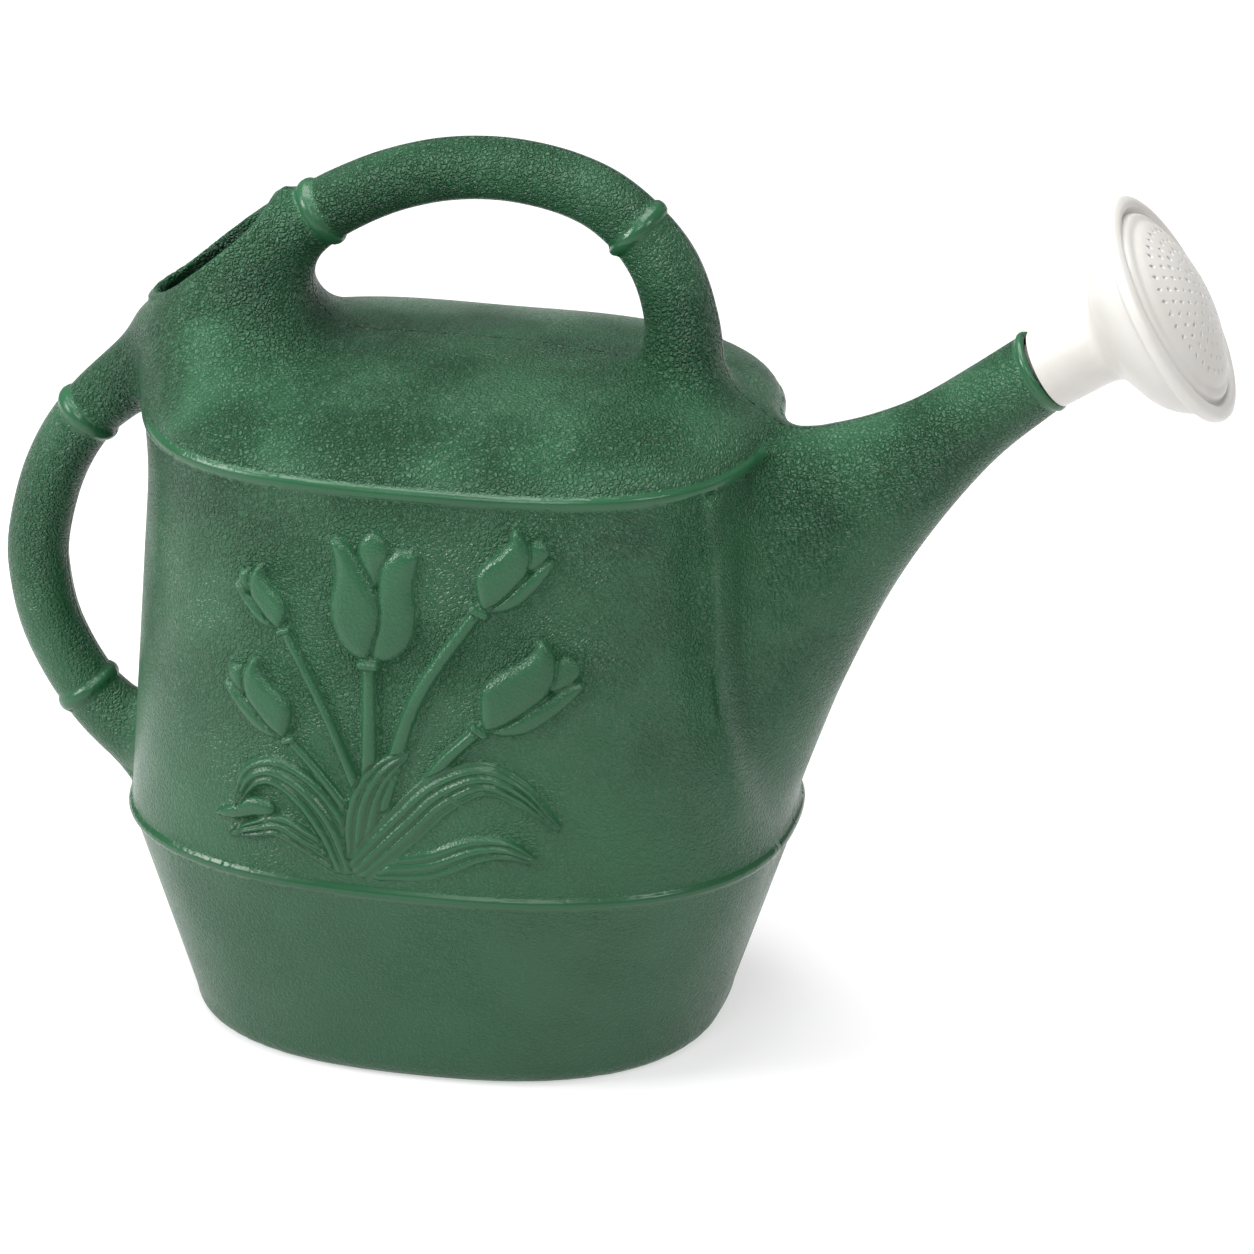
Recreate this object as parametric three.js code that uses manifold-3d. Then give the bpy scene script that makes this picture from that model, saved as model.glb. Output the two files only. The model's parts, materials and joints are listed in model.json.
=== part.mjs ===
// A garden watering can: a blow-moulded can with an arched carrying handle, a rear handle and a
// tapering spout, and a two-piece sprinkler rose pushed onto the spout.
// Millimetres. +Z is up, +X points the way the spout does, and the origin is the middle of the base.
import * as THREE from "three";
import { mergeVertices } from "three/addons/utils/BufferGeometryUtils.js";
import Module from "manifold-3d";

const wasm = await Module();
wasm.setup();

// Driving dimensions.
const WALL = 1.8; // thickness of the moulded wall
const GAP = 0.35; // clearance between pieces that fit together
const BEAD = 1.3; // height of the moulded beads that run round the can
const BASE = { length: 190, width: 164, squareness: 2.45, corner: 7 };
const LOWER_BEAD = { height: 74.6, length: 235, width: 184, squareness: 2.5 };
const UPPER_BEAD = { height: 219.6, length: 214, width: 172, squareness: 2.85 };
const DECK_HEIGHT = 247.6; // top of the can under the carrying handle
const GRIP_RADIUS = 11; // both handles
const RING_TUBE = 1.5; // the moulded ring at each end of a grip
const SPOUT_MOUTH = new THREE.Vector3(200.1, 0, 251.3);
const SPOUT_MOUTH_ANGLE = 34; // degrees that the spout rises at its mouth
const SPOUT_MOUTH_RADIUS = 14.2;
const ROSE_ANGLE = 31; // degrees that the rose's axis rises
const ROSE = {
  spigotLength: 10, spigotRadius: 10.7, collarStart: 2.7, collarRadius: 13.7,
  rimHeight: 50.7, rimRadius: 39.1, rimTube: 2.6, domeRadius: 35.4, domeHeight: 12.2,
  wall: 1.6, holeRadius: 0.6, holeRings: 7, holePitch: 4.3, drillLength: 24,
};

// The planes at which the moulding is divided into its named regions.
const CUT = {
  tubTop: 76.5, deckBottom: 221.5, deckTop: 253, spoutRoot: 104, hoodFront: -61.5,
  rearGrip: -126.5, rearFoot: -119.5, frontLegTop: 280, frontLegRear: 40, rearMiddle: 150,
};
const FAR = 500; // beyond every side of the can

const GREEN = { color: 0x24553a, roughness: 0.45, metalness: 0 };
const WHITE = { color: 0xe9e7e2, roughness: 0.4, metalness: 0 };

const degrees = THREE.MathUtils.degToRad;
const point = (x, z) => new THREE.Vector3(x, 0, z);

// ---- Solids ---------------------------------------------------------------------------------

function solidOf(geometry) {
  const bare = geometry.clone();
  bare.deleteAttribute("normal");
  bare.deleteAttribute("uv");
  const merged = mergeVertices(bare, 1e-4);
  return new wasm.Manifold(new wasm.Mesh({
    numProp: 3,
    vertProperties: new Float32Array(merged.attributes.position.array),
    triVerts: new Uint32Array(merged.index.array),
  }));
}

function geometryOf(solid) {
  const mesh = solid.getMesh();
  const geometry = new THREE.BufferGeometry();
  geometry.setAttribute("position", new THREE.BufferAttribute(mesh.vertProperties, 3));
  geometry.setIndex(new THREE.BufferAttribute(mesh.triVerts, 1));
  geometry.computeVertexNormals();
  return geometry;
}

function joined(solids) {
  return solids.reduce((all, next) => all.add(next));
}

// A block of space from one corner to the other, used to cut a region out of the moulding.
function block(x0, x1, z0, z1) {
  const geometry = new THREE.BoxGeometry(x1 - x0, FAR, z1 - z0);
  return solidOf(geometry.translate((x0 + x1) / 2, 0, (z0 + z1) / 2));
}

// A closed cylinder whose rings are moved to the sections of a body. `place(step, u, v)` gives the
// point of section number `step` at (u, v) on the unit circle, or at (0, 0) in the middle of a cap.
function lofted(steps, sides, place) {
  const geometry = new THREE.CylinderGeometry(1, 1, 1, sides, steps);
  const positions = geometry.attributes.position;
  for (let i = 0; i < positions.count; i++) {
    const step = Math.round((positions.getY(i) + 0.5) * steps);
    const target = place(step, positions.getX(i), -positions.getZ(i));
    positions.setXYZ(i, target.x, target.y, target.z);
  }
  return solidOf(geometry);
}

// A body swept through sections that stand across the plane y = 0. Each section runs from a point
// of the `left` line to the same point of the `right` line, which are on those sides of the way
// that the body runs, and is `half(t)` wide along Y to each side. `inset` moves its surface inwards.
function sweptBetween(left, right, half, steps, inset) {
  const leftLine = new THREE.CatmullRomCurve3(left);
  const rightLine = new THREE.CatmullRomCurve3(right);
  return lofted(steps, 20, (step, u, v) => {
    const t = step / steps;
    const start = leftLine.getPoint(t);
    const across = rightLine.getPoint(t).sub(start);
    const reach = across.length() / 2;
    const target = start.clone().addScaledVector(across, 0.5);
    target.addScaledVector(across.normalize(), u * (reach - inset));
    target.y = v * (half(t) - inset);
    return target;
  });
}

// A round bar along a line in the plane y = 0, `radius(t)` thick at the share t of its length.
function roundBar(points, radius, steps) {
  const line = new THREE.CatmullRomCurve3(points);
  return lofted(steps, 12, (step, u, v) => {
    const t = step / steps;
    const along = line.getTangentAt(t);
    const across = new THREE.Vector3(along.z, 0, -along.x);
    const target = line.getPointAt(t).addScaledVector(across, u * radius(t));
    target.y = v * radius(t);
    return target;
  });
}

// A moulded ring round a bar: its middle and the direction of the bar there, in degrees of rise.
function ring(centre, rise, radius, tube) {
  const geometry = new THREE.TorusGeometry(radius, tube, 6, 16);
  geometry.rotateY(Math.PI / 2 - degrees(rise));
  return solidOf(geometry.translate(centre.x, 0, centre.z));
}

// A value read off evenly spaced stations, for t from 0 to 1.
function stations(values) {
  return (t) => {
    const place = t * (values.length - 1);
    const index = Math.min(Math.floor(place), values.length - 2);
    return THREE.MathUtils.lerp(values[index], values[index + 1], place - index);
  };
}

// ---- The can's main body --------------------------------------------------------------------

// The body's sections from the base up: height, half length, half width and squareness.
function bodySections(inset) {
  const sections = [];
  const add = (height, length, width, squareness) => sections.push({
    height, squareness, halfLength: length / 2 - inset, halfWidth: width / 2 - inset,
  });
  const between = (a, b, t, bulge) => add(
    THREE.MathUtils.lerp(a.height, b.height, t),
    THREE.MathUtils.lerp(a.length, b.length, t) + 2 * bulge,
    THREE.MathUtils.lerp(a.width, b.width, t) + 2 * bulge,
    THREE.MathUtils.lerp(a.squareness, b.squareness, t),
  );
  // The rounded edge of the base.
  for (const angle of [0, 30, 60]) {
    const inwards = 2 * BASE.corner * (1 - Math.sin(degrees(angle)));
    const height = inset + (BASE.corner - inset) * (1 - Math.cos(degrees(angle)));
    add(height, BASE.length - inwards, BASE.width - inwards, BASE.squareness);
  }
  // The flared tub, its bead, the barrel above it and the upper bead.
  const foot = { ...BASE, height: BASE.corner };
  const beadOut = inset > 0 ? 0 : BEAD;
  const lower = BEAD / LOWER_BEAD.height;
  const upper = BEAD / (UPPER_BEAD.height - LOWER_BEAD.height);
  for (const t of [0, 0.35, 0.7, 1 - lower]) between(foot, LOWER_BEAD, t, 0);
  between(foot, LOWER_BEAD, 1, beadOut);
  for (const t of [upper, 0.25, 0.5, 0.75, 1 - upper]) between(LOWER_BEAD, UPPER_BEAD, t, 0);
  between(LOWER_BEAD, UPPER_BEAD, 1, beadOut);
  // The shoulder, which closes slowly over the length and faster over the width.
  const rise = DECK_HEIGHT - inset - UPPER_BEAD.height;
  for (const share of [0.06, 0.2, 0.38, 0.56, 0.72, 0.85, 0.94, 0.985, 0.999]) {
    const length = (UPPER_BEAD.length - 2 * inset) * (1 - share ** 3.2) ** (1 / 3.2);
    const width = (UPPER_BEAD.width - 2 * inset) * (1 - share ** 1.9) ** (1 / 1.9);
    const height = UPPER_BEAD.height + rise * share;
    add(height, length + 2 * inset, width + 2 * inset, UPPER_BEAD.squareness);
  }
  return sections;
}

function mainBody(inset) {
  const sections = bodySections(inset);
  const oval = (value, squareness) => Math.sign(value) * Math.abs(value) ** (2 / squareness);
  return lofted(sections.length - 1, inset > 0 ? 28 : 40, (step, u, v) => {
    const section = sections[step];
    const x = section.halfLength * oval(u, section.squareness);
    const y = section.halfWidth * oval(v, section.squareness);
    return new THREE.Vector3(x, y, section.height);
  });
}

// ---- Hood, spout and handles ----------------------------------------------------------------

function fillerHood(inset) {
  const rear = [point(-92, 190), point(-112, 222), point(-117, 243), point(-110.8, 256.2)];
  const front = [point(-32, 222), point(-50, 246), point(-58, 268), point(-71.3, 289.5)];
  const halfWidths = [58, 44, 29, 21.5];
  if (inset > 0) {
    // The inside runs on straight out of the mouth, so that the mouth is open.
    const mouth = front[3].clone().sub(rear[3]).normalize();
    const outwards = point(-mouth.z, mouth.x).multiplyScalar(12);
    rear.push(rear[3].clone().add(outwards));
    front.push(front[3].clone().add(outwards));
    halfWidths.push(halfWidths[3]);
  }
  return sweptBetween(rear, front, stations(halfWidths), 3 * (rear.length - 1), inset);
}

const MOUTH_UP = point(-Math.sin(degrees(SPOUT_MOUTH_ANGLE)), Math.cos(degrees(SPOUT_MOUTH_ANGLE)));
const MOUTH_OUT = point(Math.cos(degrees(SPOUT_MOUTH_ANGLE)), Math.sin(degrees(SPOUT_MOUTH_ANGLE)));

function spout(inset) {
  const upper = [point(76, 221), point(115.5, 223), point(130, 226), point(144, 231),
    point(158, 238), point(175, 250)];
  const lower = [point(98, 62), point(117.5, 88), point(134, 130.5), point(150.6, 167),
    point(168, 195.5), point(187, 220)];
  const widths = [36, 32, 25, 20.3, 16.8, 15, SPOUT_MOUTH_RADIUS];
  upper.push(SPOUT_MOUTH.clone().addScaledVector(MOUTH_UP, SPOUT_MOUTH_RADIUS));
  lower.push(SPOUT_MOUTH.clone().addScaledVector(MOUTH_UP, -SPOUT_MOUTH_RADIUS));
  if (inset > 0) {
    upper.push(upper[6].clone().addScaledVector(MOUTH_OUT, 12));
    lower.push(lower[6].clone().addScaledVector(MOUTH_OUT, 12));
    widths.push(SPOUT_MOUTH_RADIUS);
  }
  return sweptBetween(upper, lower, stations(widths), 2 * (upper.length - 1), inset);
}

const TOP_HANDLE = [point(-92, 250), point(-72, 272), point(-53.2, 286.9), point(-38.5, 295.8),
  point(-24.4, 302.1), point(-8, 306.7), point(9, 308.5), point(24.8, 307.3), point(38.8, 303.9),
  point(50, 298.6), point(62, 289.5), point(71, 276), point(75, 261), point(76, 244), point(74, 230)];
const REAR_HANDLE = [point(-98, 244), point(-119, 227), point(-137, 206.4), point(-149, 186),
  point(-156, 162), point(-156.4, 145), point(-151.1, 124.2), point(-138.8, 102.6),
  point(-123, 88), point(-106, 78)];

function topHandle(inset) {
  const grip = GRIP_RADIUS;
  const thickness = stations([20, 17, 12, grip, grip, grip, grip, grip, grip, grip, 11.3, 12, 13.5, 16]);
  return roundBar(TOP_HANDLE, (t) => thickness(t) - inset, 22);
}

function rearHandle(inset) {
  const grip = GRIP_RADIUS;
  const thickness = stations([18, 14.5, 11.5, grip, grip, grip, grip, grip, 12.5, 15]);
  return roundBar(REAR_HANDLE, (t) => thickness(t) - inset, 16);
}

function gripRings() {
  const radius = GRIP_RADIUS - 0.2;
  return joined([
    ring(TOP_HANDLE[2], 31, radius, RING_TUBE),
    ring(point(58.9, 292.2), -42, radius, RING_TUBE),
    ring(REAR_HANDLE[2], 53, radius, RING_TUBE),
    ring(REAR_HANDLE[7], 124, radius, RING_TUBE),
  ]);
}

// ---- The moulding and its regions -----------------------------------------------------------

function moulding() {
  const mouthBead = ring(SPOUT_MOUTH, SPOUT_MOUTH_ANGLE, SPOUT_MOUTH_RADIUS - 0.7, RING_TUBE);
  const outside = joined([mainBody(0), fillerHood(0), spout(0), topHandle(0), rearHandle(0),
    gripRings(), mouthBead]);
  const inside = joined([mainBody(WALL), fillerHood(WALL), spout(WALL), topHandle(WALL),
    rearHandle(WALL)]);
  return outside.subtract(inside);
}

function mouldingRegions() {
  const can = moulding();
  const behindHood = block(CUT.rearGrip, CUT.hoodFront, CUT.deckBottom, FAR);
  const rearNeck = block(CUT.rearGrip, CUT.rearFoot, CUT.rearMiddle, CUT.deckBottom);
  const overDeck = block(CUT.hoodFront, CUT.frontLegRear, CUT.deckTop, FAR);
  const overFrontLeg = block(CUT.frontLegRear, CUT.spoutRoot, CUT.frontLegTop, FAR);
  const spaces = {
    lower_tub: block(CUT.rearGrip, FAR, -FAR, CUT.tubTop),
    barrel_wall: block(CUT.rearFoot, CUT.spoutRoot, CUT.tubTop, CUT.deckBottom),
    shoulder_deck: block(CUT.hoodFront, CUT.spoutRoot, CUT.deckBottom, CUT.deckTop),
    filler_hood: joined([behindHood, rearNeck]),
    spout: block(CUT.spoutRoot, FAR, CUT.tubTop, FAR),
    top_handle_grip: joined([overDeck, overFrontLeg]),
    top_handle_front_leg: block(CUT.frontLegRear, CUT.spoutRoot, CUT.deckTop, CUT.frontLegTop),
    rear_handle_grip: block(-FAR, CUT.rearGrip, -FAR, FAR),
    rear_handle_foot: block(CUT.rearGrip, CUT.rearFoot, CUT.tubTop, CUT.rearMiddle),
  };
  return Object.entries(spaces).map(([name, space]) => [name, can.intersect(space)]);
}

// ---- The rose -------------------------------------------------------------------------------

// Both pieces are turned about their own +Z axis, with z = 0 at the spout's mouth.
function turned(outline, sides) {
  const profile = outline.map(([radius, height]) => new THREE.Vector2(radius, height));
  const geometry = new THREE.LatheGeometry([...profile, profile[0].clone()], sides);
  return geometry.rotateX(Math.PI / 2);
}

function roseBell() {
  const collar = ROSE.collarRadius;
  const edge = ROSE.rimHeight - ROSE.rimTube;
  const outer = [[ROSE.spigotRadius, ROSE.collarStart], [collar, ROSE.collarStart], [collar, 22.5],
    [15, 26.5], [19.6, 29.8], [25.6, 33.2], [31, 36.8], [34.4, 41], [36.6, 45], [37.4, edge]];
  const inner = outer.slice(2).reverse().map(([r, h]) => [r - ROSE.wall, h + 0.4]);
  inner[0][1] = edge;
  const bore = ROSE.spigotRadius - ROSE.wall;
  const spigot = [[bore, 8], [bore, -ROSE.spigotLength], [ROSE.spigotRadius, -ROSE.spigotLength]];
  return turned([...outer, ...inner, ...spigot], 32);
}

// The height of the dome over the rim at a radius, a shallow cap with a rounded edge.
function domeAt(radius, height) {
  return height * (1 - (radius / ROSE.domeRadius) ** 2.3) ** 0.8;
}

function roseFace() {
  const { rimHeight, rimRadius, rimTube, domeRadius, domeHeight, wall } = ROSE;
  const outline = [];
  for (const share of [0, 0.25, 0.5, 0.7, 0.85, 0.95]) {
    const radius = share * (domeRadius - wall);
    outline.push([radius, rimHeight - 0.8 + domeAt(radius, domeHeight - wall)]);
  }
  outline.push([domeRadius - wall, rimHeight - 0.8], [domeRadius + 0.6, rimHeight - rimTube + GAP]);
  for (let angle = -110; angle <= 130; angle += 40) {
    const x = rimRadius + rimTube * Math.cos(degrees(angle));
    outline.push([x, rimHeight + rimTube * Math.sin(degrees(angle))]);
  }
  outline.push([domeRadius + 0.9, rimHeight + 0.7], [domeRadius, rimHeight + 1]);
  for (const share of [0.97, 0.88, 0.72, 0.5, 0.25, 0]) {
    const radius = share * domeRadius;
    outline.push([radius, rimHeight + 0.8 + domeAt(radius, domeHeight - 0.8)]);
  }
  const face = solidOf(turned(outline, 36));
  // The spray holes: one in the middle and rings of them around it.
  const drills = [];
  for (let number = 0; number < ROSE.holeRings; number++) {
    const count = Math.max(1, number * 6);
    for (let index = 0; index < count; index++) {
      const drill = new THREE.CylinderGeometry(ROSE.holeRadius, ROSE.holeRadius, ROSE.drillLength, 5);
      drill.rotateX(Math.PI / 2);
      drill.translate(number * ROSE.holePitch, 0, rimHeight + domeHeight - 4);
      drill.rotateZ(2 * Math.PI * (index + number / 2) / count);
      drills.push(solidOf(drill));
    }
  }
  return geometryOf(face.subtract(joined(drills)));
}

// ---- The scene graph ------------------------------------------------------------------------

function mesh(name, geometry, look) {
  const made = new THREE.Mesh(geometry, new THREE.MeshStandardMaterial(look));
  made.name = name;
  return made;
}

const wateringCan = new THREE.Group();
for (const [name, solid] of mouldingRegions()) {
  wateringCan.add(mesh(name, geometryOf(solid), GREEN));
}

const rose = new THREE.Group();
rose.position.copy(SPOUT_MOUTH);
rose.rotation.y = Math.PI / 2 - degrees(ROSE_ANGLE);
rose.add(mesh("rose_bell", roseBell(), WHITE));
rose.add(mesh("rose_face", roseFace(), WHITE));
wateringCan.add(rose);

export default wateringCan;
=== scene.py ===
import bpy
import bmesh
import json
import math
import numpy as np
from mathutils import Matrix, Vector


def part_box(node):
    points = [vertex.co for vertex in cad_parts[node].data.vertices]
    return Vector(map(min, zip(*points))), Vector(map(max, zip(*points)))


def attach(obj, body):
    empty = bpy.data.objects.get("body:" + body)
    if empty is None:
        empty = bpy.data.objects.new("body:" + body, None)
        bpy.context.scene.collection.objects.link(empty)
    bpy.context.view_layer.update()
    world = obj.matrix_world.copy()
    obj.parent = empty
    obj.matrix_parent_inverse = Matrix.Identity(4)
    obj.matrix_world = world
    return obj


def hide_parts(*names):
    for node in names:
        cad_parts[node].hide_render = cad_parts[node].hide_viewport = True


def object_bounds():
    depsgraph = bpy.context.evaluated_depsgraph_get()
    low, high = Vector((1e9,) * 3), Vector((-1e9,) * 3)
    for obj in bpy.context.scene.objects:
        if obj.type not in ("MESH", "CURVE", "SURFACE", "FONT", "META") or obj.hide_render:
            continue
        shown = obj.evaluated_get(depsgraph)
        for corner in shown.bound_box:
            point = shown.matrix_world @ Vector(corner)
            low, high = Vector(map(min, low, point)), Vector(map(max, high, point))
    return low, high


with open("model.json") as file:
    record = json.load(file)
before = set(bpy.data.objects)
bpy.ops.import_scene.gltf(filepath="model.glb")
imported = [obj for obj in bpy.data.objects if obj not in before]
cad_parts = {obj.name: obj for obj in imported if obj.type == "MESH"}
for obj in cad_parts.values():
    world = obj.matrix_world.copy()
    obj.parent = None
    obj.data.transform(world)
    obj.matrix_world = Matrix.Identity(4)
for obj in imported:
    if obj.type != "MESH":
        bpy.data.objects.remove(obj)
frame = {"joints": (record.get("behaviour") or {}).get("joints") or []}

# A garden watering can: one blow-moulded can in grained green plastic, and a white two-piece rose.
# The can's surface is one smooth field, sampled to a mesh, so its handles, spout and hood flow into
# the body as they do in the moulding. Shapes are worked out in millimetres, in the CAD's frame.

CAD_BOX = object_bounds()
MM = 0.001

# ---- Driving dimensions ------------------------------------------------------------------------

TUB_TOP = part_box("lower_tub")[1][2] / MM

BASE = {"height": 7.0, "length": 190.0, "width": 164.0, "squareness": 2.45}
LOWER_BEAD = {"height": TUB_TOP - 1.9, "length": 235.0, "width": 184.0, "squareness": 2.5}
UPPER_BEAD = {"height": 219.6, "length": 214.0, "width": 172.0, "squareness": 2.85}
DECK_HEIGHT = 247.0
SHOULDER_POWER = 1.75  # how squarely the shoulder rolls over, across the can
SHOULDER_BOXINESS = 0.5  # what is added to it along the can
BASE_CORNER = 7.0
BEAD_HEIGHT = 1.25
BEAD_HALF_WIDTH = 2.1
WALL = 2.2  # at the two mouths
WALL_DEEP = 7.0  # out of sight
SPOUT_DEEP = 12.5  # in the spout's root, measured across it

RING_HEIGHT = 1.45
RING_HALF_WIDTH = 2.3

# The raised ridge down each side of the spout's root, in x and z.
RIB_LINE = [(97.5, 217), (100.4, 192), (101.6, 163), (104.2, 138), (108, 108), (110, 90)]
RIB_HEIGHT = 4.0
RIB_HALF_WIDTH = 4.6
RIB_POINTEDNESS = 1.3
RIB_FADE = (92, 140)  # heights between which the ridge grows to its full height
RIB_SIDES = 25  # how far from the middle plane the broad sides begin
GROOVE_DEPTH, GROOVE_WIDTH, GROOVE_PLACE = 1.4, 4.0, -8.5  # beside the ridge, on the barrel's side

# Reaches over which the parts of the can blend into each other, outside and inside.
HOOD_BLEND, SPOUT_BLEND, TOP_HANDLE_BLEND, REAR_HANDLE_BLEND = 16, 11, 10, 9
HOOD_HOLLOW_BLEND, SPOUT_HOLLOW_BLEND = 8, 6

# The sampled space, and the spans of it that are sampled finely, round the hood's mouth and the spout's.
COARSE, FINE = 3.4, 1.2
SPACE = [(-171, 218), (-97, 97), (-3, 324)]
FINE_SPANS = [[(-118, -58), (186, 218)], [(-31, 31)], [(234, 298)]]

FAR = 99.0  # stands for a place out of reach
TINY = 1e-4


# ---- Fields ------------------------------------------------------------------------------------
# Each field takes arrays of x, y and z and gives the distance outside the shape, negative inside.

def soft_union(a, b, reach):
    share = np.clip(0.5 + 0.5 * (b - a) / reach, 0, 1)
    return b + (a - b) * share - reach * share * (1 - share)


def soft_cut(a, b, reach):
    """What is inside a and outside b, with the edge rounded."""
    return -soft_union(-a, b, reach)


def spline(points, count):
    """A Catmull-Rom curve through the points, as an array of count points evenly spread in parameter."""
    points = np.array(points, float)
    padded = np.vstack([2 * points[0] - points[1], points, 2 * points[-1] - points[-2]])
    place = np.linspace(0, len(points) - 1, count)
    index = np.minimum(place.astype(int), len(points) - 2)
    t = (place - index)[:, None]
    p0, p1, p2, p3 = (padded[index + k] for k in range(4))
    return 0.5 * (2 * p1 + (p2 - p0) * t + (2 * p0 - 5 * p1 + 4 * p2 - p3) * t ** 2
                  + (3 * p1 - p0 - 3 * p2 + p3) * t ** 3)


def half_round(q):
    return np.sqrt(np.clip(1 - q * q, 0, 1))


def between(values, index, t):
    """Values at the share t of the way from each index to the next."""
    t = t.reshape(t.shape + (1,) * (values.ndim - 1))
    return values[index] + t * (values[index + 1] - values[index])


def body_field(x, y, z, inset=0.0):
    """The tub, barrel and shoulder in one, with their beads and ridges when it isn't inset."""
    heights = [BASE["height"], LOWER_BEAD["height"], UPPER_BEAD["height"]]
    sections = (BASE, LOWER_BEAD, UPPER_BEAD)
    half_length = np.interp(z, heights, [s["length"] / 2 for s in sections]) - inset
    half_width = np.interp(z, heights, [s["width"] / 2 for s in sections]) - inset
    n = np.interp(z, heights, [s["squareness"] for s in sections])
    across = np.maximum(np.abs(x) / half_length, TINY)
    deep = np.maximum(np.abs(y) / half_width, TINY)
    gauge = (across ** n + deep ** n) ** (1 / n)
    slope = gauge ** (1 - n) * np.hypot(across ** (n - 1) / half_length, deep ** (n - 1) / half_width)
    # Above the upper bead the section closes into the shoulder, boxier along the can than across it.
    shoulder = DECK_HEIGHT - inset - UPPER_BEAD["height"]
    rise = np.maximum(z - UPPER_BEAD["height"], 0) / shoulder
    p = SHOULDER_POWER + SHOULDER_BOXINESS * (across ** 2 / (across ** 2 + deep ** 2))
    total = (gauge ** p + rise ** p) ** (1 / p)
    height_slope = rise ** (p - 1) / shoulder
    steep = total ** (1 - p) * np.hypot(gauge ** (p - 1) * slope, height_slope)
    side = (total - 1) / steep
    if inset == 0:
        for bead in (LOWER_BEAD, UPPER_BEAD):
            side = side - BEAD_HEIGHT * half_round((z - bead["height"]) / BEAD_HALF_WIDTH)
        side = side - rib_height(x, y, z)
    # The flat base, with a rounded edge.
    below = inset - z
    corner = BASE_CORNER - inset
    outside = np.hypot(np.maximum(side + corner, 0), np.maximum(below + corner, 0))
    return outside + np.minimum(np.maximum(side, below), -corner)


def rib_height(x, y, z):
    """How far the ridges at the spout's root stand out of the body."""
    line_x, line_z = zip(*RIB_LINE[::-1])
    across = x - np.interp(z, line_z, line_x)
    low = np.clip((z - RIB_FADE[0]) / (RIB_FADE[1] - RIB_FADE[0]), 0, 1)
    top = half_round(np.maximum(z - RIB_LINE[0][1] + RIB_HALF_WIDTH, 0) / RIB_HALF_WIDTH)
    bump = RIB_HEIGHT * np.clip(1 - (across / RIB_HALF_WIDTH) ** 2, 0, 1) ** RIB_POINTEDNESS
    groove = GROOVE_DEPTH * np.exp(-((across - GROOVE_PLACE) / GROOVE_WIDTH) ** 2)
    return np.where(np.abs(y) > RIB_SIDES, (bump - groove) * low * top, 0)


class Bar:
    """A round bar along a curve in the plane y = 0, with moulded rings where it is held."""

    STEPS = 12  # along the curve, from each point to the next
    REACH = 45  # farther from the curve the distance isn't worked out

    def __init__(self, points, radii, rings=()):
        count = self.STEPS * (len(points) - 1) + 1
        self.line = spline(points, count)
        self.radius = np.interp(np.linspace(0, 1, count), np.linspace(0, 1, len(radii)), radii)
        steps = np.hypot(*np.diff(self.line, axis=0).T)
        self.along = np.concatenate([[0], np.cumsum(steps)])
        self.rings = [self.along[np.argmin(np.hypot(*(self.line - ring).T))] for ring in rings]

    def section(self, x, z):
        """Distance in the plane, radius and length along the bar at its nearest point."""
        x, z = np.broadcast_arrays(x, z)
        spot = np.stack([x.ravel(), z.ravel()], -1)
        low, high = self.line.min(0) - self.REACH, self.line.max(0) + self.REACH
        near = np.all((spot > low) & (spot < high), axis=1)
        parts = np.full(len(spot), FAR), np.zeros(len(spot)), np.zeros(len(spot))
        for whole, part in zip(parts, self.nearest(spot[near])):
            whole[near] = part
        return tuple(part.reshape(x.shape) for part in parts)

    def nearest(self, spot):
        best = np.full(len(spot), np.inf)
        radius = np.zeros(len(spot))
        along = np.zeros(len(spot))
        for i in range(len(self.line) - 1):
            start, step = self.line[i], self.line[i + 1] - self.line[i]
            t = np.clip((spot - start) @ step / (step @ step), 0, 1)
            away = np.hypot(*(spot - start - t[:, None] * step).T)
            closer = away < best
            best[closer] = away[closer]
            radius[closer] = (self.radius[i] + t * (self.radius[i + 1] - self.radius[i]))[closer]
            along[closer] = (self.along[i] + t * (self.along[i + 1] - self.along[i]))[closer]
        return best, radius, along

    def field(self, x, y, z):
        away, radius, along = self.section(x, z)
        distance = np.hypot(away, y) - radius
        for ring in self.rings:
            distance = distance - RING_HEIGHT * half_round((along - ring) / RING_HALF_WIDTH)
        return distance


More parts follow.
